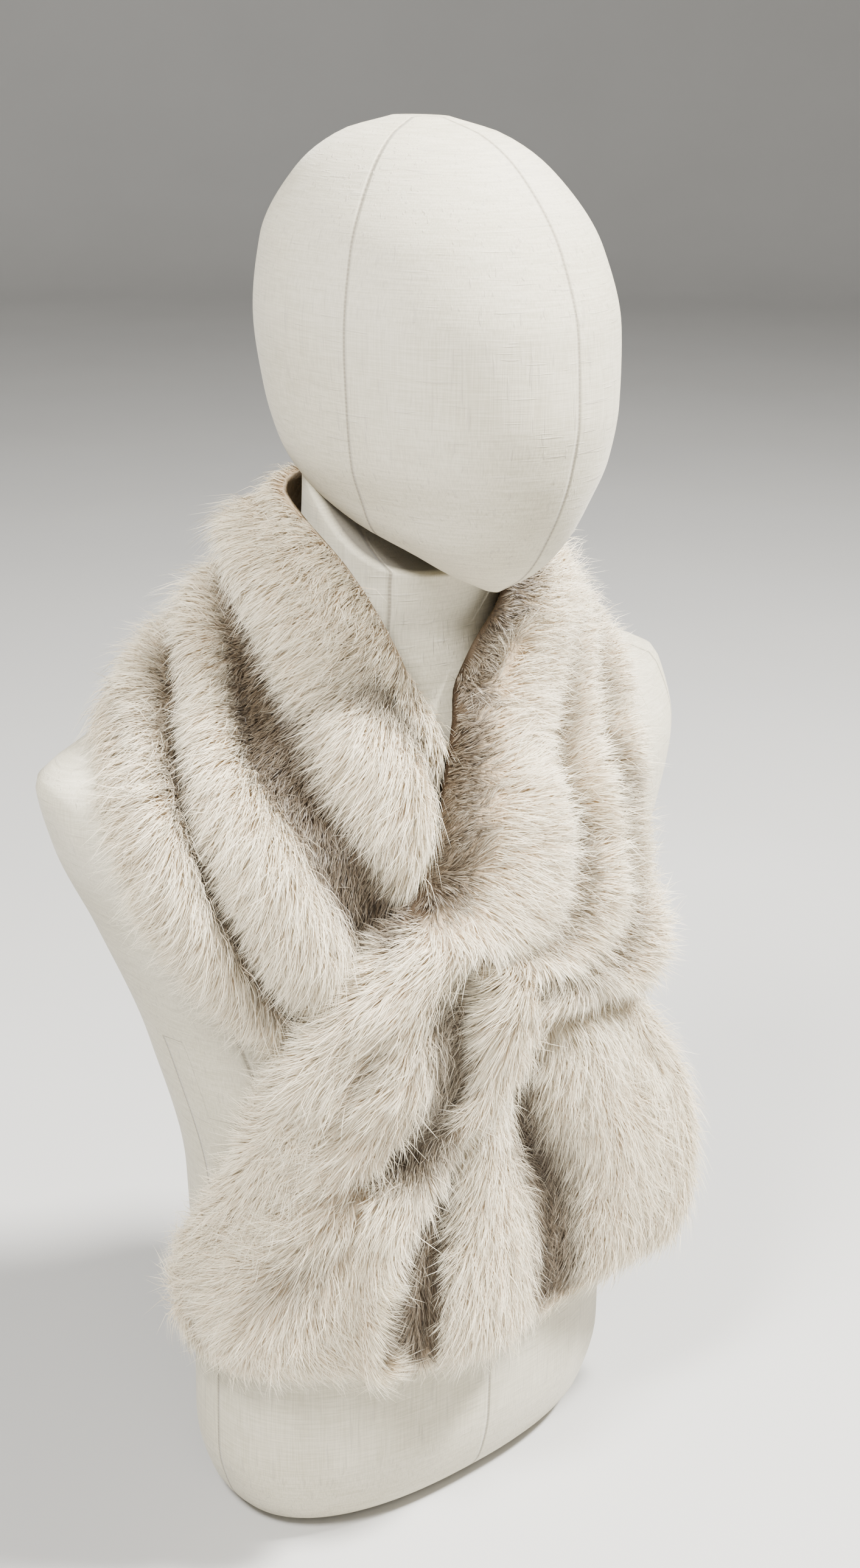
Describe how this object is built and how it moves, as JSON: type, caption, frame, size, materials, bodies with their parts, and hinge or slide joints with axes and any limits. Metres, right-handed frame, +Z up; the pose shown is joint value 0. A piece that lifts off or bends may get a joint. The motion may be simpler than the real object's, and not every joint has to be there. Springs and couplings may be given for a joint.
{
  "type": "fur collar wrap on dress form",
  "caption": "Thick ridged fur collar wrap, crossed on the chest with two loose tails, on a limbless linen dress form with a plain faceless head.",
  "frame": {"origin": "middle of the dress form's flat underside", "axes": "+Z up, the front faces -Y, the wearer's left is +X"},
  "size_m": [0.4, 0.2173, 0.731],
  "materials": {
    "linen_cover": "pale grey-beige linen, plain weave with small slubs",
    "fur_pile": "long creamy off-white fur, soft, in parallel ridges"
  },
  "bodies": {
    "root": {"form_torso": "linen_cover", "form_head": "linen_cover", "wrap_tail_under": "fur_pile", "wrap_right_panel": "fur_pile", "wrap_collar_back": "fur_pile", "wrap_left_panel": "fur_pile", "wrap_tail_over": "fur_pile"}
  },
  "joints": []
}
